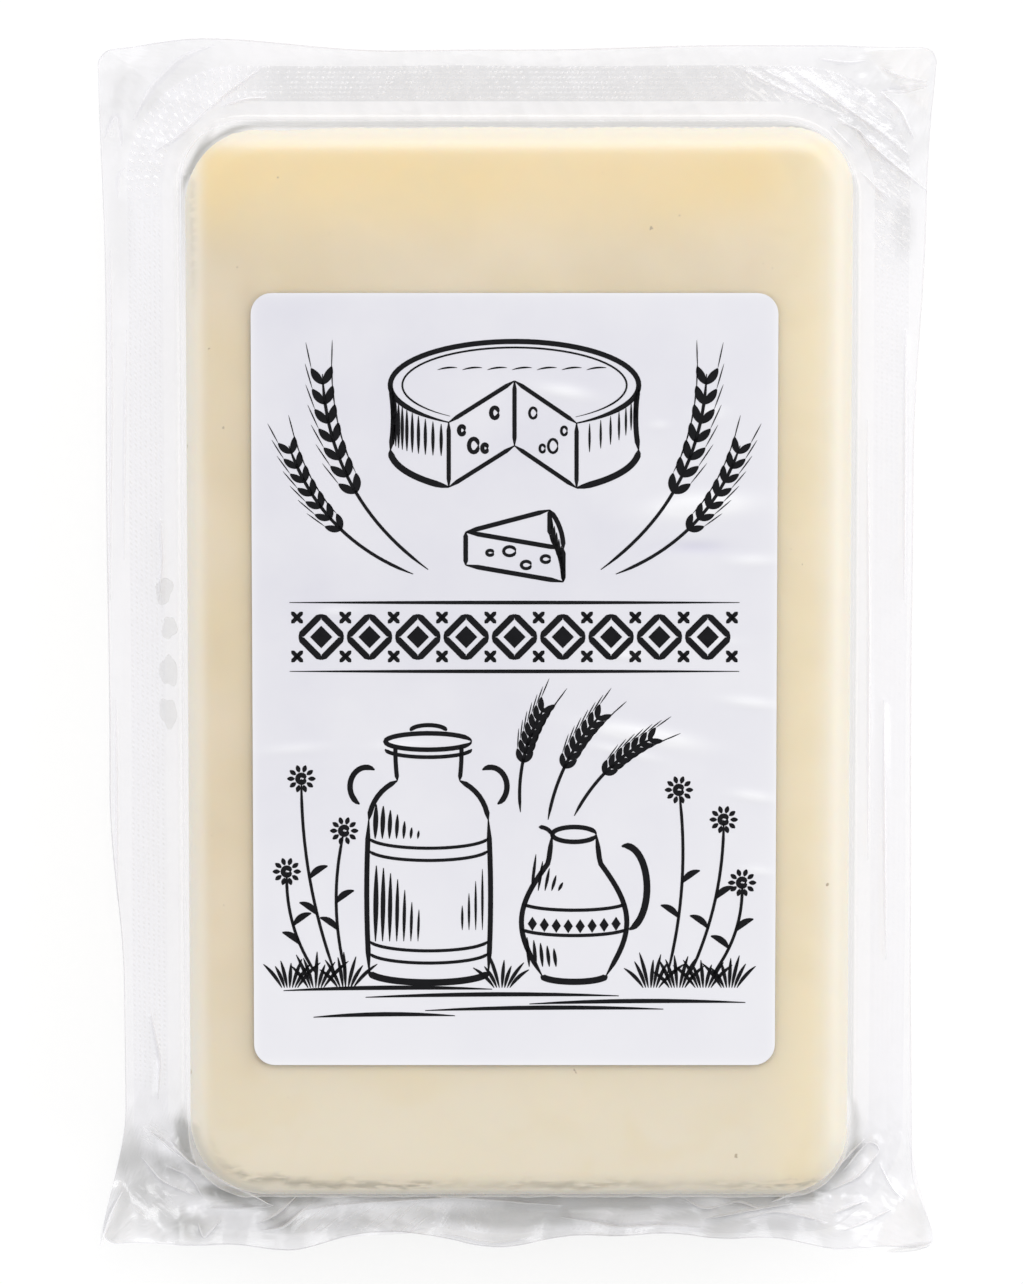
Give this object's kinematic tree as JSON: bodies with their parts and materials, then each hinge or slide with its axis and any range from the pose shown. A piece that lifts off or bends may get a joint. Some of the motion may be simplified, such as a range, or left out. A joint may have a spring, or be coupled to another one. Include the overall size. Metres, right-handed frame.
{
  "type": "vacuum-packed kashkaval",
  "caption": "Block of pale yellow cheese sealed in a clear vacuum pack with a wide waved flange and a white paper label, lying on its back.",
  "frame": {"origin": "under the middle of the flange's outline, on the flat back that the pack lies on", "axes": "+Y towards the top end of the pack as the label is read, +X to the right, +Z out of the labelled face"},
  "size_m": [0.1169, 0.1702, 0.0305],
  "materials": {
    "cheese_pack": "gloss",
    "label": "satin"
  },
  "bodies": {
    "root": {"cheese_pack": "cheese_pack", "label": "label"}
  },
  "joints": []
}
